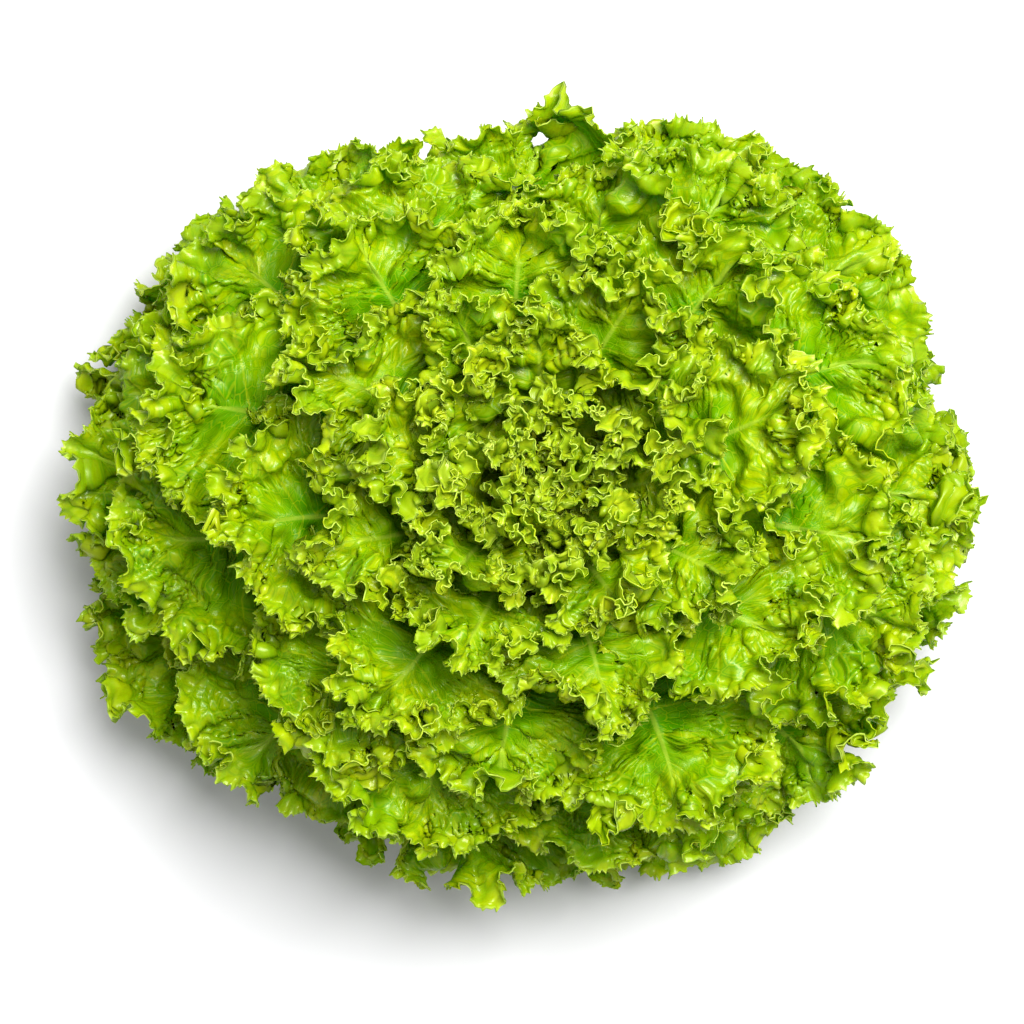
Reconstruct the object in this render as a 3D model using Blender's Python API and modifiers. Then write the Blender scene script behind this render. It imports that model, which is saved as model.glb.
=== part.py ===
"""Head of frilly leaf lettuce, upright on its cut stem. Metres, +Z up, origin at the middle of the cut
face.

The leaves grow from the stem in a spiral, one golden angle apart, the oldest lowest. Each leaf lies on a
layer of its own. The layers are bowls round the stem, one inside the next: the oldest leaf's is nearly flat
and the youngest's is upright, so leaves overlap like real ones and never meet.
"""

import math
import random

import bmesh
import bpy
from mathutils import Vector

# The oval that leaf tips reach, and the height of the youngest leaf
HEAD_WIDTH = 0.296
HEAD_DEPTH = 0.267
HEAD_HEIGHT = 0.135
TIP_FLOOR_GAP = 0.006  # from the floor up to the lowest leaf tips

# The stem: a short round butt under a dome that carries the leaves
STEM_RADIUS = 0.0170
STEM_HEIGHT = 0.060
BUTT_HEIGHT = 0.011
CUT_EDGE_ROUND = 0.0015
STEM_SIDES = 32
DOME_STEPS = 10
AXIS_TOLERANCE = 0.00005  # points nearer the stem's axis than this are joined

# Leaves, from the oldest to the youngest: name, how many, colour
LEAF_RINGS = (
    ("outer_leaf", 16, (0.26, 0.45, 0.01)),
    ("middle_leaf", 16, (0.29, 0.48, 0.01)),
    ("inner_leaf", 14, (0.33, 0.52, 0.02)),
    ("heart_leaf", 12, (0.40, 0.58, 0.03)),
)
LEAF_ROUGHNESS = 0.45
STEM_COLOUR, STEM_ROUGHNESS = (0.72, 0.76, 0.50), 0.5
GOLDEN_ANGLE = math.radians(137.508)
FIRST_AZIMUTH = math.radians(18.0)
AZIMUTH_WANDER = math.radians(5.0)  # most that a leaf stands off its place in the spiral

# Each pair below is the oldest leaf's value and the youngest's
ROOT_ON_DOME = (math.radians(0.0), math.radians(82.0))  # angle up the dome at which the leaf leaves the stem
TIP_LIFT = (math.radians(-1.0), math.radians(86.0))  # angle of the tip above the rim of the head
MIDRIB_BEND = (math.radians(27.0), math.radians(8.0))  # how much steeper than its chord the midrib starts
STALK_HALF_WIDTH = (0.0095, 0.0036)
BLADE_HALF_WIDTH = (0.061, 0.026)
STALK_THICKNESS = (0.0030, 0.0008)
BLADE_THICKNESS = (0.0012, 0.0007)
THINNING = 1.5  # how soon the stalk thins towards the blade: 1 is evenly, and more is sooner
FLANK_THINNESS = 0.6  # how much thinner the stalk's flanks are than its middle, as a share

MIDDLE_BEND = math.radians(24.0)  # how much more than that the leaves halfway up are bent
STEM_CLEARANCE = 0.0009  # from the stem to a leaf's root
LONGEST_REACH, SHORTEST_REACH = 1.03, 0.93  # leaves differ in length
SHOULDER_DROP = 0.30  # how far the blade's shoulders lie behind its tip, as a share of the leaf
BLADE_START, BLADE_FULL = 0.10, 0.80  # where the stalk begins to widen, and where the blade is widest
WIDEST_WRAP = math.radians(74.0)  # most that half a leaf wraps round the head
CELLS_ACROSS, CELLS_ALONG = 6, 6
HEART_CELLS_ACROSS, HEART_CELLS_ALONG = 6, 5

# The head isn't quite round. Its lobes are (size, how many, direction of one): in metres of the outline's
# radius, and as shares of the height.
OUTLINE_LOBES = ((0.0022, 3, math.radians(62.0)), (0.0030, 4, math.radians(57.0)))
HEIGHT_LOBES = ((0.05, 2, math.radians(20.0)), (0.03, 3, math.radians(-100.0)))
HEART_LEAN = Vector((0.005, 0.007))  # the heart leaves lean, the stem doesn't


def mix(pair, share):
    """The value this share of the way from the first of the pair to the second."""
    return pair[0] + (pair[1] - pair[0]) * share


def smooth(value, low, high):
    """0 below low, 1 above high, and an S curve between."""
    share = min(1.0, max(0.0, (value - low) / (high - low)))
    return share * share * (3.0 - 2.0 * share)


def on_dome(angle):
    """Point (radius, height) on the stem's dome, at an angle up from its rim."""
    dome_height = STEM_HEIGHT - BUTT_HEIGHT
    return Vector((STEM_RADIUS * math.cos(angle), BUTT_HEIGHT + dome_height * math.sin(angle)))


def midrib(age):
    """The three control points, as (radius, height), of the arc that the midrib of a leaf follows."""
    lift = mix(TIP_LIFT, age)
    tip = Vector(
        (
            HEAD_WIDTH / 2 * math.cos(lift),
            TIP_FLOOR_GAP + (HEAD_HEIGHT - TIP_FLOOR_GAP) * math.sin(lift),
        )
    )
    root = on_dome(mix(ROOT_ON_DOME, age))
    root.x += STEM_CLEARANCE + mix(STALK_THICKNESS, age) / 2
    chord = tip - root
    bend = mix(MIDRIB_BEND, age) + MIDDLE_BEND * 4 * age * (1 - age)
    start = math.atan2(chord.y, chord.x) + bend
    knee = root + Vector((math.cos(start), math.sin(start))) * chord.length / 2 / math.cos(bend)
    return root, knee, tip


def along_midrib(points, share):
    """The (radius, height) that share of the way along the arc. Past 1 it goes on beyond the tip."""
    root, knee, tip = points
    return root * (1 - share) ** 2 + knee * 2 * share * (1 - share) + tip * share**2


def lobes(table, azimuth):
    """How far the lobes stand out at this azimuth."""
    return sum(size * math.cos(count * (azimuth - direction)) for size, count, direction in table)


def in_head(radius, azimuth, height):
    """The finished head's point for a point of the plain round one. Neighbouring points stay neighbours."""
    half_width, half_depth = HEAD_WIDTH / 2, HEAD_DEPTH / 2
    outline = 1 / math.hypot(math.cos(azimuth) / half_width, math.sin(azimuth) / half_depth)
    outline += lobes(OUTLINE_LOBES, azimuth)
    outward = smooth(radius, STEM_RADIUS, half_width)
    radius *= 1 + (outline / half_width - 1) * outward
    height *= 1 + lobes(HEIGHT_LOBES, azimuth) * outward
    lean = HEART_LEAN * smooth(height, STEM_HEIGHT, HEAD_HEIGHT)
    return Vector((radius * math.cos(azimuth) + lean.x, radius * math.sin(azimuth) + lean.y, height))


def leaf_point(age, azimuth, reach, across, along):
    """The middle of the leaf's thickness. across runs from -1 to 1, and along from 0 at the stem to 1."""
    share = reach * along * (1 - SHOULDER_DROP * across * across * along)
    radius, height = along_midrib(midrib(age), share)
    widening = smooth(along, BLADE_START, BLADE_FULL)
    half_width = mix((mix(STALK_HALF_WIDTH, age), mix(BLADE_HALF_WIDTH, age)), widening)
    wrap = WIDEST_WRAP * math.tanh(half_width / radius / WIDEST_WRAP)
    return in_head(radius, azimuth + across * wrap, height)


def new_material(name, colour, roughness):
    material = bpy.data.materials.new(name)
    material.use_nodes = True
    shader = material.node_tree.nodes["Principled BSDF"]
    shader.inputs["Base Color"].default_value = (*colour, 1.0)
    shader.inputs["Roughness"].default_value = roughness
    shader.inputs["Metallic"].default_value = 0.0
    return material


def thicken(leaf, stalk_thickness, blade_thickness):
    """Gives the sheet its thickness: most at the root of the midrib, least at the blade's edge."""
    solidify = leaf.modifiers.new("thickness", "SOLIDIFY")
    solidify.thickness = stalk_thickness
    solidify.offset = 0.0
    solidify.vertex_group = "fleshy"
    solidify.thickness_vertex_group = blade_thickness / stalk_thickness


def make_leaf(name, age, azimuth, reach, cells, material, collection):
    """One leaf: a flat grid whose points are moved onto the leaf's layer, then thickened."""
    sheet = bmesh.new()
    bmesh.ops.create_grid(sheet, x_segments=cells[0], y_segments=cells[1], size=1.0)
    fleshiness = []
    for point in sheet.verts:
        across, along = point.co.x, (point.co.y + 1) / 2
        point.co = leaf_point(age, azimuth, reach, across, along)
        fleshiness.append((1 - along) ** THINNING * (1 - FLANK_THINNESS * across * across))
    mesh = bpy.data.meshes.new(name)
    sheet.to_mesh(mesh)
    sheet.free()
    mesh.materials.append(material)
    leaf = bpy.data.objects.new(name, mesh)
    collection.objects.link(leaf)
    fleshy = leaf.vertex_groups.new(name="fleshy")
    for index, weight in enumerate(fleshiness):
        fleshy.add([index], weight, "REPLACE")
    thicken(leaf, mix(STALK_THICKNESS, age), mix(BLADE_THICKNESS, age))


def make_leaves(collection):
    """Every leaf, oldest first, each one golden angle round from the last."""
    chance = random.Random(7)
    count = sum(ring[1] for ring in LEAF_RINGS)
    index = 0
    for name, ring_count, colour in LEAF_RINGS:
        material = new_material(name, colour, LEAF_ROUGHNESS)
        heart = name == "heart_leaf"
        cells = (HEART_CELLS_ACROSS, HEART_CELLS_ALONG) if heart else (CELLS_ACROSS, CELLS_ALONG)
        for number in range(1, ring_count + 1):
            age = index / (count - 1)
            azimuth = FIRST_AZIMUTH + index * GOLDEN_ANGLE + chance.uniform(-AZIMUTH_WANDER, AZIMUTH_WANDER)
            reach = chance.uniform(SHORTEST_REACH, LONGEST_REACH)
            make_leaf(f"{name}_{number:02d}", age, azimuth, reach, cells, material, collection)
            index += 1


def make_stem(collection):
    """The stem: its profile, from the top of the dome down to the cut face, turned about the Z axis."""
    angles = [math.pi / 2 * (1 - step / DOME_STEPS) for step in range(DOME_STEPS + 1)]
    profile = [on_dome(angle) for angle in angles]
    profile[0].x = 0.0
    profile.append(Vector((STEM_RADIUS, CUT_EDGE_ROUND)))
    profile.append(Vector((STEM_RADIUS - CUT_EDGE_ROUND, 0.0)))
    profile.append(Vector((0.0, 0.0)))
    mesh = bpy.data.meshes.new("stem")
    points = [(point.x, 0.0, point.y) for point in profile]
    mesh.from_pydata(points, [(i, i + 1) for i in range(len(points) - 1)], [])
    mesh.materials.append(new_material("stem", STEM_COLOUR, STEM_ROUGHNESS))
    stem = bpy.data.objects.new("stem", mesh)
    collection.objects.link(stem)
    screw = stem.modifiers.new("turned", "SCREW")
    screw.steps = screw.render_steps = STEM_SIDES
    screw.use_merge_vertices = True
    screw.merge_threshold = AXIS_TOLERANCE


def main():
    for old in list(bpy.data.objects):
        bpy.data.objects.remove(old)
    collection = bpy.data.collections.new("leaf_lettuce")
    bpy.context.scene.collection.children.link(collection)
    make_stem(collection)
    make_leaves(collection)


main()
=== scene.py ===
"""Looks of a head of frilly leaf lettuce. Lengths are in metres.

Every leaf is a closed thin solid, modelled as the leaf grows. Its blade lies on the layer that the leaf's
solid has in the frame. Veins run from the midrib to the margin, and the mesh follows them. The margin is
longer than the blade can hold flat, so it buckles: into slow waves, ruffles on those, frills on the ruffles,
and teeth along the rim.

Sizes that are pairs are the oldest leaf's and the youngest's.
"""

import math
import random
from dataclasses import dataclass

import bpy
import numpy as np
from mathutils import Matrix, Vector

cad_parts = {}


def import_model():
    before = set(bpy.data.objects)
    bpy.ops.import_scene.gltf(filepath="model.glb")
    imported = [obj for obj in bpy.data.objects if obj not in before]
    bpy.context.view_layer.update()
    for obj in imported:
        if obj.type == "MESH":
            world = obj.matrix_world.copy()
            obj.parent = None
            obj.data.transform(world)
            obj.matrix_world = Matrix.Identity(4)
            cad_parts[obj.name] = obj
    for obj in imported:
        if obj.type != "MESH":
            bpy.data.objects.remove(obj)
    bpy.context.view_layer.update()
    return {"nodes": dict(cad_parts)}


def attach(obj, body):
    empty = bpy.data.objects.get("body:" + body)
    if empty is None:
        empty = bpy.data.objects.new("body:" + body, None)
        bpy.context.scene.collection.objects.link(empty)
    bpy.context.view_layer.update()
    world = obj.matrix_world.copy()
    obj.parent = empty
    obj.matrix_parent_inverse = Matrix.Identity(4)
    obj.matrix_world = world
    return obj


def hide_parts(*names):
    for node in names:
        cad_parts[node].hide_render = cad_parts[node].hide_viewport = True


MM = 0.001

# The layers that the leaves lie on, as the CAD model has them
HEAD_WIDTH, HEAD_DEPTH, HEAD_HEIGHT = 0.296, 0.267, 0.135
TIP_FLOOR_GAP = 0.006
STEM_RADIUS, STEM_HEIGHT, BUTT_HEIGHT = 0.0170, 0.060, 0.011
LEAF_RINGS = (("outer_leaf", 16), ("middle_leaf", 16), ("inner_leaf", 14), ("heart_leaf", 12))
GOLDEN_ANGLE = math.radians(137.508)
FIRST_AZIMUTH = math.radians(18.0)
AZIMUTH_WANDER = math.radians(5.0)
ROOT_ON_DOME = (math.radians(0.0), math.radians(82.0))
TIP_LIFT = (math.radians(-1.0), math.radians(86.0))
MIDRIB_BEND = (math.radians(27.0), math.radians(8.0))
STALK_HALF_WIDTH = (0.0095, 0.0036)
BLADE_HALF_WIDTH = (0.061, 0.026)
STALK_THICKNESS = (0.0030, 0.0008)
MIDDLE_BEND = math.radians(24.0)
STEM_CLEARANCE = 0.0009
LONGEST_REACH, SHORTEST_REACH = 1.03, 0.93
SHOULDER_DROP = (0.17, 0.30)  # the solids have 0.30, and the oldest blades are rounder
BLADE_START, BLADE_FULL = 0.10, 0.80
WIDEST_WRAP = math.radians(74.0)
OUTLINE_LOBES = ((0.0022, 3, math.radians(62.0)), (0.0030, 4, math.radians(57.0)))
HEIGHT_LOBES = ((0.05, 2, math.radians(20.0)), (0.03, 3, math.radians(-100.0)))
HEART_LEAN = (0.005, 0.007)

# How a grown leaf differs from its solid, each up to this much either way
SWEEP = math.radians(9.0)  # the tip turned to one side
ROLL = 0.16  # the slope of the blade across
LIFT = 0.0030  # the tip off its layer
SIZE_SPREAD = 0.06
HABIT_SEED = 6588

# How all grown leaves differ from their solids
FULLNESS = (1.22, 1.0)  # how much wider the blade is than its solid
HEART_CLOSES = 0.0045  # how far the youngest leaf's tip bends in over the heart
TYPICAL_REACH, REACH_SPREAD = 0.985, 0.5  # the blades' lengths differ by this share of what the solids' do
OUTLINE_SHIFT = -0.0076  # from the solid's outline out to the blade's, before its lobes and teeth
GROWN_DEPTH = 0.968  # the grown head's depth, as a share of what its frill alone would bring it to

# Lobes of the outline
LOBE_WAVE, LOBE_HEIGHT = (0.022, 0.010), (0.0046, 0.0022)


@dataclass
class Buckle:
    """One generation of waves along the margin."""

    wave: tuple  # length along the margin
    height: tuple  # each way from the blade
    depth: tuple  # how far in from the margin it begins
    overhang: float  # how far each fold leans over its neighbour, in waves
    lift: float  # how far its middle stands to the inner side, in heights
    blur: int  # of the normals it follows


SLOW_WAVES = Buckle((0.056, 0.034), (0.0060, 0.0030), (0.044, 0.024), overhang=0.0, lift=0.0, blur=16)
RUFFLES = Buckle((0.0200, 0.0105), (0.0044, 0.0031), (0.0135, 0.010), overhang=0.065, lift=0.2, blur=9)
FRILLS = Buckle((0.0090, 0.0048), (0.0012, 0.0010), (0.0062, 0.0045), overhang=0.05, lift=0.1, blur=2)

# The margin rolls outward, away from the heart: through this angle on average, more or less from lobe to lobe
CURL, CURL_BAND = (math.radians(42), math.radians(54)), (0.026, 0.013)
CURL_VARIES, LEAST_CURL, MOST_CURL = math.radians(28), math.radians(-30), math.radians(150)
TOOTH_SPACING, TOOTH_LENGTH = (0.0022, 0.0017), (0.0014, 0.0010)
TOOTH_DEPTH, TOOTH_CROOK = 0.0028, 0.0003  # how far in a tooth begins, and how far it turns up or down

SIDE_VEINS = 9  # each side of the midrib
QUILT = 0.0011  # how far the blade swells between side veins
CELL, CELL_LENGTH = 0.0034, 1.55  # the mean width of the blade's blisters, and their length in widths
CELL_RANDOMNESS = 0.85
BLISTER = 0.0015  # height
PUCKER, PUCKER_WAVE = 0.0013, 0.012  # slower swells across the blisters

RIM_THICKNESS, BLADE_THICKNESS = 0.00042, 0.00062
MIDRIB_LINE = (0.0007, 0.0005)  # half the width of the pale line along the midrib
FLOOR_CLEARANCE = 0.0003
FLOOR_EASE = 0.005  # what would lie lower than this is raised, the lowest most

# The mesh: columns run round the margin, and rows from the midrib out to it
LONGEST_VEIN = (0.063, 0.025)
RIM_LENGTH = (3.6, 4.8)  # of the finished rim, in lengths of the flat margin
RIM_STEP = 0.00084  # between points along the finished rim
COARSEST = 8  # columns skipped near the midrib

# The picture
CAMERA_PLACE, CAMERA_LENS = (-0.0041, -0.0033, 0.903), 100.0
KEY_PLACE, KEY_TARGET, KEY_SIZE, KEY_WATTS = (0.38, 0.47, 1.40), (0, 0, 0.03), 0.85, 38.5
SKY_STRENGTH = 0.55
PICTURE_GAMMA = 0.87  # below 1, for deeper darks
TABLE_SIZE, TABLE_COLOUR = 6.0, (0.72, 0.72, 0.73, 1)


@dataclass
class Leaf:
    name: str
    slot: str
    age: float  # 0 for the oldest, 1 for the youngest
    azimuth: float
    reach: float
    seed: int
    sweep: float
    roll: float
    lift: float
    size: float


def mix(pair, share):
    """The value this share of the way from the first of the pair to the second."""
    return pair[0] + (pair[1] - pair[0]) * share


def smooth(value, low, high):
    """0 below low, 1 above high, and an S curve between."""
    share = np.clip((value - low) / (high - low), 0.0, 1.0)
    return share * share * (3.0 - 2.0 * share)


def off_stalk(side, full):
    """0 at the stalk's base, where side is 1, and 1 from this share of the half margin on."""
    return smooth(1 - side, 0.05, full)


def distance_along(line):
    """Each point's distance from the start, along the line."""
    return np.concatenate(([0], np.cumsum(np.linalg.norm(np.diff(line, axis=0), axis=1))))


def line_length(line):
    return np.linalg.norm(np.diff(line, axis=0), axis=1).sum()


def habit(index, age):
    """What a leaf has of its own: its sweep, roll, lift and size."""
    chance = random.Random(index + HABIT_SEED)
    sweep, roll, lift, size = (chance.uniform(-1, 1) for _ in range(4))
    close = HEART_CLOSES * float(smooth(age, 0.75, 1.0))
    return SWEEP * sweep, ROLL * roll, LIFT * lift + close, 1 + SIZE_SPREAD * size


def all_leaves():
    """The leaves in the order they grew, with the places and lengths that their solids have."""
    chance = random.Random(7)
    count = sum(ring[1] for ring in LEAF_RINGS)
    leaves = []
    for slot, ring_count in LEAF_RINGS:
        for number in range(1, ring_count + 1):
            index = len(leaves)
            azimuth = FIRST_AZIMUTH + index * GOLDEN_ANGLE + chance.uniform(-AZIMUTH_WANDER, AZIMUTH_WANDER)
            reach = chance.uniform(SHORTEST_REACH, LONGEST_REACH)
            reach = mix((TYPICAL_REACH, reach), REACH_SPREAD)
            age = index / (count - 1)
            leaves.append(Leaf(f"{slot}_{number:02d}", slot, age, azimuth, reach, index, *habit(index, age)))
    return leaves


# The layer of a leaf


def midrib_arc(age):
    """The three control points, as (radius, height), of the arc that the midrib of a leaf follows."""
    lift = mix(TIP_LIFT, age)
    tip = np.array(
        (
            HEAD_WIDTH / 2 * math.cos(lift),
            TIP_FLOOR_GAP + (HEAD_HEIGHT - TIP_FLOOR_GAP) * math.sin(lift),
        )
    )
    up = mix(ROOT_ON_DOME, age)
    root = np.array((STEM_RADIUS * math.cos(up), BUTT_HEIGHT + (STEM_HEIGHT - BUTT_HEIGHT) * math.sin(up)))
    root[0] += STEM_CLEARANCE + mix(STALK_THICKNESS, age) / 2
    chord = tip - root
    bend = mix(MIDRIB_BEND, age) + MIDDLE_BEND * 4 * age * (1 - age)
    start = math.atan2(chord[1], chord[0]) + bend
    length = math.hypot(*chord)
    knee = root + np.array((math.cos(start), math.sin(start))) * length / 2 / math.cos(bend)
    return root, knee, tip


def along_arc(arc, share):
    """The (radius, height) that share of the way along the arc. Past 1 it goes on beyond the tip."""
    root, knee, tip = arc
    share = share[..., None]
    return root * (1 - share) ** 2 + knee * 2 * share * (1 - share) + tip * share**2


def arc_length(arc):
    return line_length(along_arc(arc, np.linspace(0, 1, 65)))


def lobes(table, azimuth):
    return sum(size * np.cos(count * (azimuth - direction)) for size, count, direction in table)


def in_head(radius, azimuth, height):
    half_width, half_depth = HEAD_WIDTH / 2, HEAD_DEPTH / 2
    outline = 1 / np.hypot(np.cos(azimuth) / half_width, np.sin(azimuth) / half_depth)
    outline = outline + lobes(OUTLINE_LOBES, azimuth)
    outward = smooth(radius, STEM_RADIUS, half_width)
    radius = radius * (1 + (outline / half_width - 1) * outward)
    height = height * (1 + lobes(HEIGHT_LOBES, azimuth) * outward)
    lean = smooth(height, STEM_HEIGHT, HEAD_HEIGHT)
    x = radius * np.cos(azimuth) + HEART_LEAN[0] * lean
    y = radius * np.sin(azimuth) + HEART_LEAN[1] * lean
    return np.stack((x, y, height), axis=-1)


def on_layer(leaf, sideways, share):
    """Points of the leaf's layer, from the distance to the side of the midrib and the share of the arc."""
    arc = along_arc(midrib_arc(leaf.age), share)
    radius, height = np.maximum(arc[..., 0], 1 * MM), arc[..., 1]
    share = np.clip(share, 0, 1.1)
    wrap = WIDEST_WRAP * np.tanh(sideways / radius / WIDEST_WRAP)
    points = in_head(radius, leaf.azimuth + leaf.sweep * share**2 + wrap, height)
    off = leaf.lift * share**2 + leaf.roll * sideways * share
    return points + grid_frame(points, blur=16)[2] * off[..., None]


# The flat leaf


def resampled(line, count):
    """The line's points at equal steps along it."""
    at = distance_along(line)
    want = np.linspace(0, at[-1], count)
    return np.stack([np.interp(want, at, line[:, axis]) for axis in range(line.shape[1])], axis=1)


def waves(points, wavelength, seed, count=9):
    """A smooth random field of about unit size, as a sum of plane waves of about this wavelength."""
    chance = np.random.default_rng(seed)
    total = 0.0
    for _ in range(count):
        direction = chance.normal(size=points.shape[-1])
        direction /= np.linalg.norm(direction)
        step = 2 * np.pi / (wavelength * chance.uniform(0.7, 1.5))
        total = total + np.sin(points @ direction * step + chance.uniform(0, 2 * np.pi))
    return total * math.sqrt(2 / count)


def half_margin(leaf, length):
    """One side of the flat leaf's outline, from the tip round the shoulder and down to the stalk's base."""
    half_width = mix(BLADE_HALF_WIDTH, leaf.age) * mix(FULLNESS, leaf.age) * leaf.size
    across = np.linspace(0, 1, 60)
    drop = mix(SHOULDER_DROP, leaf.age)
    front = np.stack((across * half_width, leaf.reach * (1 - drop * across**2)), axis=1)
    along = np.linspace(1, 0, 90)[1:]
    stalk = mix(STALK_HALF_WIDTH, leaf.age)
    width = stalk + (half_width - stalk) * smooth(along, BLADE_START, BLADE_FULL)
    side = np.stack((width, leaf.reach * along * (1 - drop * along)), axis=1)
    line = np.concatenate((front, side)) * (1, length)
    line = resampled(line, 240)
    for _ in range(60):
        line[1:-1] += (line[:-2] + line[2:] - 2 * line[1:-1]) / 4
    return resampled(line, 1000)


def flat_leaf(leaf, signed, rows):
    """The flat leaf as a grid of (column, row).

    signed places the columns: -1 and 1 at the stalk's base and 0 at the tip. Each follows a side vein. Both
    halves share the midrib. Gives the places, each point's distance from the margin along its vein, and the
    midrib's length.
    """
    length = arc_length(midrib_arc(leaf.age))
    side = np.abs(signed)
    half = half_margin(leaf, length)
    at = np.linspace(0, 1, len(half))
    margin = np.stack([np.interp(side, at, half[:, axis]) for axis in range(2)], axis=1)
    margin[:, 0] *= np.sign(signed)
    origin = np.zeros_like(margin)
    origin[:, 1] = 0.84 * length * leaf.reach * (1 - side) ** 0.7
    span = margin - origin
    grown = (OUTLINE_SHIFT + lobed(leaf, margin)) * off_stalk(side, 0.25)
    span *= 1 + (grown / np.linalg.norm(span, axis=1))[:, None]
    out = rows[None, :, None]
    bow = np.stack((span[:, 1], -span[:, 0]), axis=1) * (np.sign(signed) * smooth(side, 0.0, 0.25))[:, None]
    places = origin[:, None] + span[:, None] * out + bow[:, None] * 0.14 * out * (1 - out)
    to_margin = np.linalg.norm(span, axis=1)[:, None] * (1 - rows[None, :])
    return places, to_margin, length


def lobed(leaf, margin):
    """How far the lobes stand out along the margin: round, with narrow gaps between."""
    wave, height = mix(LOBE_WAVE, leaf.age), mix(LOBE_HEIGHT, leaf.age)
    at = distance_along(margin)
    phase = np.pi * at / wave + waves(at[:, None], wave * 2.5, leaf.seed + 900) * 0.9
    size = np.clip(1 + 0.4 * waves(at[:, None], wave * 2.0, leaf.seed + 901), 0.3, 1.7)
    return height * size * ((np.sin(phase) ** 2 + 0.02) ** 0.4 - 0.65)


def grid_frame(points, blur=0):
    """Unit vectors at each point of a grid: along the margin, outward along the vein, and the sheet's normal.

    With blur, creases that are narrower than about twice its square root in columns don't turn the normal.
    """
    along = np.gradient(points, axis=0)
    outward = np.gradient(points, axis=1)
    normal = np.cross(along, outward)
    for _ in range(blur):
        normal[1:-1] = (normal[:-2] + 2 * normal[1:-1] + normal[2:]) / 4
    normal[:, 0] = normal[:, 1] + normal[::-1, 1]
    normal /= np.maximum(np.linalg.norm(normal, axis=-1, keepdims=True), 1e-12)
    outward /= np.maximum(np.linalg.norm(outward, axis=-1, keepdims=True), 1e-12)
    along = np.cross(outward, normal)
    return along, outward, normal


def buckled(leaf, places, points, to_margin, side, buckle, seed):
    """The sheet with one more generation of waves along its margin."""
    wave, height, depth = (mix(pair, leaf.age) for pair in (buckle.wave, buckle.height, buckle.depth))
    rim = distance_along(points[:, -1])
    at = rim[:, None]
    drift = waves(at, wave * 2.6, seed) * 0.9
    slant = waves(at, wave * 3.0, seed + 1)[:, None] * to_margin / wave * 1.3
    wander = waves(places, depth * 1.1, seed + 4) * smooth(to_margin, 0, depth) * 1.6
    phase = (2 * np.pi * rim / wave + drift)[:, None] + slant + wander
    swell = np.clip(1 + 0.42 * waves(at, wave * 2.2, seed + 2), 0.2, 1.8)[:, None]
    reach = depth * np.clip(1 + 0.35 * waves(at, wave * 1.8, seed + 3), 0.45, 1.8)[:, None]
    strength = np.clip(1 - to_margin / reach, 0, 1) ** 1.5 * swell * off_stalk(side, 0.28)[:, None]
    along, _, normal = grid_frame(points, buckle.blur)
    rise = height * strength * (np.sin(phase) + buckle.lift)
    lean = buckle.overhang * wave * strength * np.sin(2 * phase)
    return points + normal * rise[..., None] - along * lean[..., None]


def curled(leaf, points, to_margin, side):
    """The sheet with its margin rolled outward."""
    rim = distance_along(points[:, -1])
    varies = waves(rim[:, None], mix(LOBE_WAVE, leaf.age) * 2.6, leaf.seed + 700)
    turn = mix(CURL, leaf.age) + CURL_VARIES * varies
    turn = np.clip(turn, LEAST_CURL, MOST_CURL) * off_stalk(side, 0.3)
    angle = turn[:, None] * np.clip(1 - to_margin / mix(CURL_BAND, leaf.age), 0, 1) ** 0.9
    steps = np.diff(points, axis=1)
    size = np.linalg.norm(steps, axis=-1, keepdims=True)
    normal = grid_frame(points, blur=16)[2][:, 1:]
    angle = angle[:, 1:, None]
    steps = steps * np.cos(angle) - normal * size * np.sin(angle)
    return np.concatenate((points[:, :1], points[:, :1] + np.cumsum(steps, axis=1)), axis=1)


def toothed(leaf, points, to_margin, side, seed):
    """The sheet with pointed teeth along its rim, each turned a little up or down."""
    spacing, length = mix(TOOTH_SPACING, leaf.age), mix(TOOTH_LENGTH, leaf.age)
    rim = distance_along(points[:, -1])
    at = rim[:, None]
    phase = np.pi * rim / spacing + waves(at, spacing * 4, seed) * 1.3
    tooth = (1 - np.abs(np.sin(phase))) ** 1.2
    size = np.clip(1 + 0.5 * waves(at, spacing * 3, seed + 1), 0.15, 2.0)
    near = np.clip(1 - to_margin / TOOTH_DEPTH, 0, 1) ** 1.5 * off_stalk(side, 0.25)[:, None]
    _, outward, normal = grid_frame(points)
    push = (tooth * size - 0.35)[:, None] * length * near
    crook = (waves(at, spacing * 1.7, seed + 2) * TOOTH_CROOK)[:, None] * near
    return points + outward * push[..., None] + normal * crook[..., None]


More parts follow.
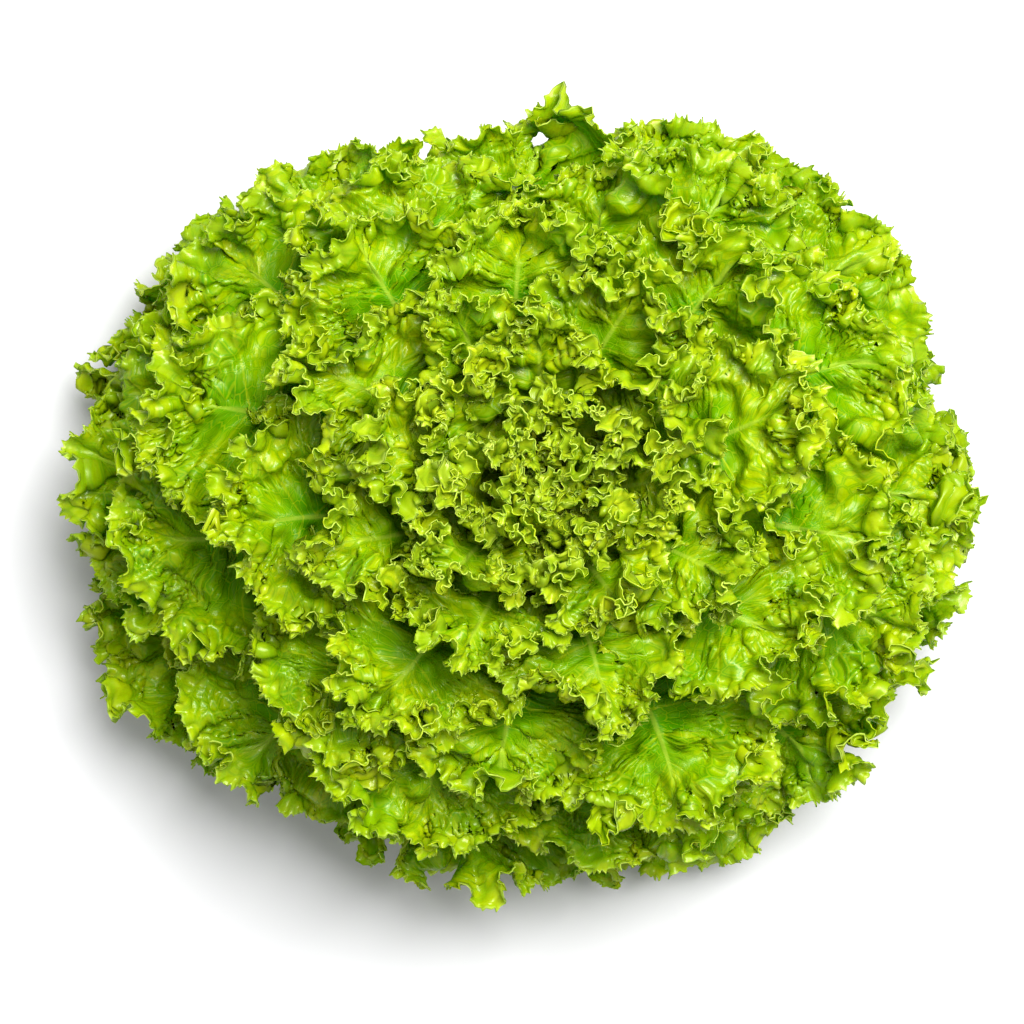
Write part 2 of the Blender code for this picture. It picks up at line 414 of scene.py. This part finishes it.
def blade_cells(places):
    """Distance from each place to the nearest wall between cells, in cells, as the leaf's material has it."""
    flat = places.reshape(-1, 2)
    mesh = bpy.data.meshes.new("cells")
    mesh.vertices.add(len(flat))
    mesh.vertices.foreach_set("co", np.column_stack((flat, np.zeros(len(flat)))).astype(np.float32).ravel())
    holder = bpy.data.objects.new("cells", mesh)
    bpy.context.scene.collection.objects.link(holder)
    tree = bpy.data.node_groups.new("cells", "GeometryNodeTree")
    tree.interface.new_socket("Geometry", in_out="INPUT", socket_type="NodeSocketGeometry")
    tree.interface.new_socket("Geometry", in_out="OUTPUT", socket_type="NodeSocketGeometry")
    start, end = tree.nodes.new("NodeGroupInput"), tree.nodes.new("NodeGroupOutput")
    cells = tree.nodes.new("ShaderNodeTexVoronoi")
    cells.voronoi_dimensions, cells.feature = "2D", "DISTANCE_TO_EDGE"
    cells.inputs["Scale"].default_value = 1.0
    cells.inputs["Randomness"].default_value = CELL_RANDOMNESS
    place = tree.nodes.new("GeometryNodeInputPosition")
    store = tree.nodes.new("GeometryNodeStoreNamedAttribute")
    store.data_type, store.domain = "FLOAT", "POINT"
    store.inputs["Name"].default_value = "wall"
    tree.links.new(place.outputs["Position"], cells.inputs["Vector"])
    tree.links.new(cells.outputs["Distance"], store.inputs["Value"])
    tree.links.new(start.outputs["Geometry"], store.inputs["Geometry"])
    tree.links.new(store.outputs["Geometry"], end.inputs["Geometry"])
    holder.modifiers.new("cells", "NODES").node_group = tree
    shown = holder.evaluated_get(bpy.context.evaluated_depsgraph_get())
    wall = np.empty(len(flat), np.float32)
    shown.data.attributes["wall"].data.foreach_get("value", wall)
    bpy.data.objects.remove(holder)
    bpy.data.meshes.remove(mesh)
    bpy.data.node_groups.remove(tree)
    return wall.reshape(places.shape[:-1])


def side_vein_distance(places, signed):
    """Distance of each point from the nearest side vein, which runs down a column that all rows keep."""
    column = np.arange(len(signed))
    veins = np.interp(np.linspace(-1, 1, 2 * SIDE_VEINS + 1), signed, column)
    veins = (np.rint(veins / COARSEST) * COARSEST).astype(int)
    nearest = veins[np.abs(column[:, None] - veins).argmin(axis=1)]
    return np.linalg.norm(places - places[nearest], axis=-1)


def row_plan(leaf, longest):
    """Rows from midrib to rim, as shares of the vein, and the columns that each skips: finest at the rim."""
    depths = [0.0]
    strides = [1]
    blade = 32 * MM * (1 - 0.4 * leaf.age)
    for limit, step, stride in ((2.2 * MM, 0.55 * MM, 1), (6.5 * MM, 0.95 * MM, 2), (blade, 1.3 * MM, 4)):
        while depths[-1] < limit:
            depths.append(depths[-1] + step)
            strides.append(stride)
    while depths[-1] < longest - 7 * MM:
        depths.append(depths[-1] + 2.9 * MM)
        strides.append(COARSEST)
    tail = [longest - d * MM for d in (5.0, 3.2, 2.0, 1.1, 0.0)]
    tail = [d for d in tail if d > depths[-1] + 0.4 * MM]
    depths += tail
    strides += [COARSEST] * len(tail)
    shares = 1 - np.array(depths) / longest
    shares[-1] = 0.0
    return shares[::-1].copy(), strides[::-1]


def grid_faces(columns, strides):
    """Faces of the sheet, and the loop of its edge, from the rows' strides. The midrib's two rows are one."""
    numbers = []
    count = 0
    for row, stride in enumerate(strides):
        kept = columns // stride + 1
        if row == 0:
            half = np.arange(kept // 2 + 1)
            numbers.append(np.concatenate((half, half[-2::-1])))
            count += len(half)
        else:
            numbers.append(np.arange(count, count + kept))
            count += kept
    quads, triangles = [], []
    for inner, outer in zip(numbers[:-1], numbers[1:]):
        a, b = inner[:-1], inner[1:]
        if len(inner) == len(outer):
            quads.append(np.stack((a, b, outer[1:], outer[:-1]), axis=1))
            continue
        c, d, e = outer[0:-2:2], outer[1:-1:2], outer[2::2]
        triangles += [np.stack(three, axis=1) for three in ((a, d, c), (a, b, d), (b, e, d))]
    back, forth = [row[-1] for row in numbers[-2:0:-1]], [row[0] for row in numbers[1:-1]]
    loop = np.concatenate((numbers[-1], back, [numbers[0][0]], forth))
    quads = np.concatenate(quads)
    triangles = np.concatenate(triangles) if triangles else np.empty((0, 3), int)
    return numbers, count, quads, triangles, loop


def kept_points(grid, numbers, strides, count):
    """The grid's values at the points that the mesh keeps."""
    out = np.empty((count,) + grid.shape[2:])
    for row, (ids, stride) in enumerate(zip(numbers, strides)):
        out[ids] = grid[::stride, row]
    return out


def grown_sheet(leaf, signed, shares, blistered):
    """The middle of the leaf's thickness, in place, and what the mesh and material need of the flat leaf."""
    places, to_margin, length = flat_leaf(leaf, signed, shares)
    side = np.abs(signed)
    points = on_layer(leaf, places[..., 0], places[..., 1] / length)
    warp = np.stack([waves(places, 0.016, leaf.seed + 300 + axis) * 1.1 * MM for axis in range(2)], axis=-1)
    margin_length = line_length(half_margin(leaf, length))
    reach = to_margin[:, :1] - to_margin
    round_margin = np.broadcast_to(side[:, None] * margin_length, reach.shape)
    cell_places = np.stack((round_margin, reach / CELL_LENGTH), axis=-1)
    cell_places = (cell_places + warp + places * 0.3) / CELL + leaf.seed * 37.0
    vein = side_vein_distance(places, signed)

    points = buckled(leaf, places, points, to_margin, side, SLOW_WAVES, leaf.seed * 10)
    points = curled(leaf, points, to_margin, side)
    if blistered:
        _, _, normal = grid_frame(points)
        swell = np.clip(0.95 + 0.45 * waves(places, 0.028, leaf.seed + 500), 0.25, 1.6)
        dome = (smooth(blade_cells(cell_places), 0.0, 0.36) - 0.5) * BLISTER * swell
        quilt = (smooth(vein, 0.0, 6 * MM) - 0.4) * QUILT * 2
        pucker = waves(places, PUCKER_WAVE, leaf.seed + 400) * PUCKER
        away = smooth(to_margin, 1 * MM, 7 * MM) * smooth(1 - side, 0.03, 0.2)[:, None]
        from_midrib = smooth(np.abs(places[..., 0]), 0.8 * MM, 4 * MM)
        points = points + normal * ((dome + quilt + pucker) * away * from_midrib)[..., None]
    points = buckled(leaf, places, points, to_margin, side, RUFFLES, leaf.seed * 10 + 1000)
    points = buckled(leaf, places, points, to_margin, side, FRILLS, leaf.seed * 10 + 2000)
    points = toothed(leaf, points, to_margin, side, leaf.seed + 5000)
    return points, places / (1, length), to_margin, cell_places, vein


def evened(signed, points):
    """New places for the columns, closer where the finished margin is longer. Both halves stay alike."""
    half = len(signed) // 2
    step = np.linalg.norm(np.diff(points[:, -1], axis=0), axis=1)
    step = step[half:] + step[half - 1 :: -1]
    step = np.convolve(np.pad(step, 8, mode="edge"), np.ones(17) / 17, mode="valid")
    step = step + 0.4 * step.mean()
    at = np.concatenate(([0], np.cumsum(step)))
    side = np.interp(np.linspace(0, at[-1], half + 1), at, signed[half:])
    return np.concatenate((-side[:0:-1], side))


def over_floor(height):
    """The heights, with the low ones raised so that nothing goes through the floor."""
    room = FLOOR_EASE - FLOOR_CLEARANCE
    raised = FLOOR_CLEARANCE + room * np.exp(np.minimum(height - FLOOR_EASE, 0) / room)
    return np.where(height < FLOOR_EASE, raised, height)


def leaf_mesh(leaf):
    """The finished leaf: the flat leaf laid on its layer, buckled, blistered, toothed and thickened."""
    margin = line_length(half_margin(leaf, arc_length(midrib_arc(leaf.age)))) * 2
    both_halves = 2 * COARSEST
    columns = int(margin * mix(RIM_LENGTH, leaf.age) / RIM_STEP / both_halves) * both_halves
    shares, strides = row_plan(leaf, mix(LONGEST_VEIN, leaf.age))
    signed = np.linspace(-1, 1, columns + 1)
    signed = evened(signed, grown_sheet(leaf, signed, shares, False)[0])
    points, places, to_margin, cell_places, vein = grown_sheet(leaf, signed, shares, True)
    points[..., 1] *= GROWN_DEPTH
    points[..., 2] = over_floor(points[..., 2])

    _, _, normal = grid_frame(points)
    along_leaf = places[..., 1]
    thick = RIM_THICKNESS + (BLADE_THICKNESS - RIM_THICKNESS) * smooth(to_margin, 0, 6 * MM)
    rib_width = mix(STALK_HALF_WIDTH, leaf.age) * (0.95 - 0.8 * np.clip(along_leaf, 0, 1))
    rib = np.exp(-((places[..., 0] / rib_width) ** 2)) * np.clip(1 - along_leaf, 0, 1) ** 1.2
    rib_height = mix(STALK_THICKNESS, leaf.age) * rib
    line_width = mix(MIDRIB_LINE, leaf.age) * (1 + 1.6 * np.clip(1 - along_leaf, 0, 1) ** 2)
    line = np.exp(-((places[..., 0] / line_width) ** 2)) * smooth(to_margin, 3 * MM, 12 * MM)
    upper = points + normal * (thick / 2)[..., None]
    lower = points - normal * (thick / 2 + rib_height)[..., None]

    numbers, count, quads, triangles, loop = grid_faces(columns, strides)

    def kept(grid):
        return kept_points(grid, numbers, strides, count)

    verts = np.concatenate((kept(upper), kept(lower)))
    after = np.roll(loop, -1)
    edge = np.stack((after, loop, loop + count, after + count), axis=1)
    faces = [quads, triangles, quads[:, ::-1] + count, triangles[:, ::-1] + count, edge]
    data = {
        "margin": np.tile(kept(to_margin) / MM, 2),
        "midrib": np.tile(kept(line), 2),
        "side_vein": np.tile(kept(vein) / MM, 2),
    }
    cell_uv = np.tile(kept(cell_places), (2, 1))
    return verts, faces, data, cell_uv, kept(places)


def build_mesh(name, verts, faces):
    """A smooth-shaded mesh from arrays of quads and triangles, and the point at each of its corners."""
    mesh = bpy.data.meshes.new(name)
    mesh.vertices.add(len(verts))
    mesh.vertices.foreach_set("co", verts.astype(np.float32).ravel())
    sizes = np.concatenate([np.full(len(f), f.shape[1]) for f in faces])
    corners = np.concatenate([f.ravel() for f in faces])
    mesh.loops.add(len(corners))
    mesh.loops.foreach_set("vertex_index", corners.astype(np.int32))
    mesh.polygons.add(len(sizes))
    mesh.polygons.foreach_set("loop_start", np.concatenate(([0], np.cumsum(sizes)[:-1])).astype(np.int32))
    mesh.update(calc_edges=True)
    mesh.shade_smooth()
    return mesh, corners


def make_leaf(leaf, material):
    """The leaf's piece. OFBake holds the two faces of the flat leaf side by side, for baking."""
    verts, faces, data, cell_uv, flat = leaf_mesh(leaf)
    mesh, corners = build_mesh(leaf.name + "_grown", verts, faces)
    for key, values in data.items():
        mesh.attributes.new(key, "FLOAT", "POINT").data.foreach_set("value", values.astype(np.float32))
    cells = mesh.uv_layers.new(name="cells")
    cells.uv.foreach_set("vector", cell_uv[corners].astype(np.float32).ravel())
    low, high = flat.min(0), flat.max(0)
    square = (flat - low) / (high - low)
    spread = np.concatenate((square * (0.49, 0.98), square * (0.49, 0.98) + (0.5, 0))) + 0.005
    bake = mesh.uv_layers.new(name="OFBake")
    bake.uv.foreach_set("vector", spread[corners].astype(np.float32).ravel())
    mesh.materials.append(material)
    piece = bpy.data.objects.new(leaf.name + "_grown", mesh)
    bpy.context.scene.collection.objects.link(piece)
    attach(piece, "root")
    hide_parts(leaf.name)


# Materials


class Nodes:
    """Short calls for a material's nodes."""

    def __init__(self, name):
        self.material = bpy.data.materials.new(name)
        self.material.use_nodes = True
        self.tree = self.material.node_tree
        self.tree.nodes.clear()

    def new(self, kind, links=None, **settings):
        node = self.tree.nodes.new(kind)
        for key, value in settings.items():
            setattr(node, key, value)
        for socket, value in (links or {}).items():
            self.give(node.inputs[socket], value)
        return node

    def give(self, socket, value):
        if isinstance(value, bpy.types.NodeSocket):
            self.tree.links.new(value, socket)
        else:
            socket.default_value = value

    def math(self, operation, a, b=0.0, c=0.0):
        return self.new("ShaderNodeMath", {0: a, 1: b, 2: c}, operation=operation).outputs[0]

    def ramp(self, value, low, high, to_low=0.0, to_high=1.0):
        links = {"Value": value, "From Min": low, "From Max": high, "To Min": to_low, "To Max": to_high}
        return self.new("ShaderNodeMapRange", links, interpolation_type="SMOOTHSTEP").outputs[0]

    def blend(self, share, a, b):
        node = self.new("ShaderNodeMix", data_type="RGBA")
        for socket, value in ((0, share), (6, a), (7, b)):
            self.give(node.inputs[socket], value)
        return node.outputs[2]

    def noise(self, vector, scale, detail, dimensions="3D"):
        links = {"Vector": vector, "Scale": scale, "Detail": detail}
        return self.new("ShaderNodeTexNoise", links, noise_dimensions=dimensions).outputs[0]

    def value(self, name):
        return self.new("ShaderNodeAttribute", attribute_name=name).outputs["Fac"]


def leaf_material(slot, deep, bright, rim, through):
    """A leaf: bright on the backs of its blisters, with painted shade in deep green between them and deep in
    the head. Pale at veins, midrib and rim; at the rim a thin broken line is partly the rim's own pale colour
    and partly painted glow and glints.
    """
    n = Nodes(slot)
    margin, midrib, side_vein = n.value("margin"), n.value("midrib"), n.value("side_vein")
    cells = n.new("ShaderNodeUVMap", uv_map="cells").outputs[0]
    links = {"Vector": cells, "Scale": 1.0, "Randomness": CELL_RANDOMNESS}
    voronoi = n.new("ShaderNodeTexVoronoi", links, voronoi_dimensions="2D", feature="DISTANCE_TO_EDGE")
    wall = voronoi.outputs["Distance"]
    fine = n.noise(cells, 2.8, 4.0, "2D")
    broad = n.noise(cells, 0.20, 3.0, "2D")
    green = n.blend(n.ramp(broad, 0.32, 0.68, 0.55, 1.0), (*deep, 1), (*bright, 1))
    # Painted shade: the colour goes halfway to deep green toward the walls between blisters, in their
    # hollows.
    green = n.blend(n.ramp(wall, 0.22, 0.04, 0.0, 0.5), green, (*deep, 1))
    # Painted shade: deep green far in from the margin, where the leaves' bases lie deep in the head.
    green = n.blend(n.ramp(margin, 14.0, 36.0, 0.0, 0.6), green, (*deep, 1))
    green = n.blend(n.ramp(margin, 9.0, 0.8, 0.0, 0.5), green, (*rim, 1))
    away = n.ramp(margin, 1.5, 7.0)
    branch = n.math("MULTIPLY", n.ramp(side_vein, 0.45, 0.1), away)
    net = n.math("MULTIPLY", n.ramp(wall, 0.075, 0.02, 0.0, 0.45), away)
    green = n.blend(n.math("MULTIPLY_ADD", branch, 0.35, net), green, (*rim, 1))
    # The thin broken pale line at the rim is partly the rim's own pale colour and partly painted glow and
    # glints.
    pale_rim_and_glint = n.math("MULTIPLY", n.ramp(margin, 0.8, 0.1, 0.0, 0.65), n.ramp(fine, 0.40, 0.62))
    green = n.blend(pale_rim_and_glint, green, (0.78, 0.90, 0.18, 1))
    green = n.blend(n.ramp(midrib, 0.15, 0.75, 0.0, 0.6), green, (0.56, 0.72, 0.07, 1))
    rough = n.ramp(fine, 0.3, 0.7, 0.20, 0.38)
    gloss = n.ramp(margin, 8.0, 30.0, 0.60, 0.12)
    height = n.math("MULTIPLY_ADD", branch, -0.6, fine)
    bump = n.new("ShaderNodeBump", {"Height": height, "Strength": 0.5, "Distance": 0.25 * MM}).outputs[0]
    skin = n.new(
        "ShaderNodeBsdfPrincipled",
        {
            "Base Color": green,
            "Roughness": rough,
            "Normal": bump,
            "Specular IOR Level": gloss,
            "Specular Tint": (1.0, 1.0, 0.9, 1),
        },
    )
    glow = n.blend(0.7, green, (*through, 1))
    back = n.new("ShaderNodeBsdfTranslucent", {"Color": glow, "Normal": bump})
    both = n.new("ShaderNodeMixShader", {0: 0.36, 1: skin.outputs[0], 2: back.outputs[0]})
    n.new("ShaderNodeOutputMaterial", {"Surface": both.outputs[0]})
    return n.material


def stem_material():
    n = Nodes("stem_flesh")
    place = n.new("ShaderNodeTexCoord").outputs["Object"]
    grain = n.noise(place, 300.0, 5.0)
    broad = n.noise(place, 60.0, 3.0)
    flesh = n.blend(n.ramp(broad, 0.35, 0.65), (0.55, 0.62, 0.30, 1), (0.74, 0.77, 0.50, 1))
    flesh = n.blend(n.ramp(grain, 0.55, 0.75, 0.0, 0.4), flesh, (0.50, 0.36, 0.16, 1))
    bump = n.new("ShaderNodeBump", {"Height": grain, "Strength": 0.5, "Distance": 0.4 * MM}).outputs[0]
    skin = n.new("ShaderNodeBsdfPrincipled", {"Base Color": flesh, "Roughness": 0.5, "Normal": bump})
    n.new("ShaderNodeOutputMaterial", {"Surface": skin.outputs[0]})
    return n.material


# The table, light and camera


def make_stage():
    plane = bpy.data.meshes.new("table")
    half = TABLE_SIZE / 2
    corners = [(-half, -half, 0), (half, -half, 0), (half, half, 0), (-half, half, 0)]
    plane.from_pydata(corners, [], [(0, 1, 2, 3)])
    table = bpy.data.objects.new("table", plane)
    n = Nodes("table")
    skin = n.new("ShaderNodeBsdfPrincipled", {"Base Color": TABLE_COLOUR, "Roughness": 0.9})
    skin.inputs["Specular IOR Level"].default_value = 0.1
    n.new("ShaderNodeOutputMaterial", {"Surface": skin.outputs[0]})
    plane.materials.append(n.material)
    bpy.context.scene.collection.objects.link(table)


def make_light():
    world = bpy.data.worlds.new("studio")
    world.use_nodes = True
    back = world.node_tree.nodes["Background"]
    back.inputs["Color"].default_value = (1.0, 1.0, 1.0, 1)
    back.inputs["Strength"].default_value = SKY_STRENGTH
    bpy.context.scene.world = world
    data = bpy.data.lights.new("key", "AREA")
    data.size, data.energy = KEY_SIZE, KEY_WATTS
    key = bpy.data.objects.new("key", data)
    key.location = KEY_PLACE
    aim = np.array(KEY_TARGET) - np.array(KEY_PLACE)
    key.rotation_euler = Vector(aim).to_track_quat("-Z", "Y").to_euler()
    bpy.context.scene.collection.objects.link(key)


def make_camera():
    data = bpy.data.cameras.new("camera")
    data.lens = CAMERA_LENS
    camera = bpy.data.objects.new("camera", data)
    camera.location = CAMERA_PLACE
    bpy.context.scene.collection.objects.link(camera)
    bpy.context.scene.camera = camera


def main():
    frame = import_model()
    bpy.context.scene.view_settings.view_transform = "Standard"
    bpy.context.scene.view_settings.gamma = PICTURE_GAMMA
    make_stage()
    make_light()
    make_camera()
    # Each deep colour is both a random darker tone and the painted shade in the blisters' hollows and deep in
    # the head.
    looks = {  # deep, bright, rim, and what shines through
        "outer_leaf": ((0.02, 0.34, 0.0), (0.54, 0.65, 0.0), (0.63, 0.70, 0.01), (0.07, 0.66, 0.0)),
        "middle_leaf": ((0.02, 0.34, 0.0), (0.55, 0.66, 0.0), (0.64, 0.71, 0.01), (0.07, 0.66, 0.0)),
        "inner_leaf": ((0.03, 0.34, 0.0), (0.58, 0.68, 0.0), (0.67, 0.74, 0.02), (0.09, 0.66, 0.0)),
        "heart_leaf": ((0.04, 0.34, 0.0), (0.62, 0.71, 0.0), (0.72, 0.78, 0.04), (0.11, 0.66, 0.0)),
    }
    materials = {slot: leaf_material(slot, *colours) for slot, colours in looks.items()}
    for leaf in all_leaves():
        make_leaf(leaf, materials[leaf.slot])
    frame["nodes"]["stem"].material_slots[0].material = stem_material()


main()
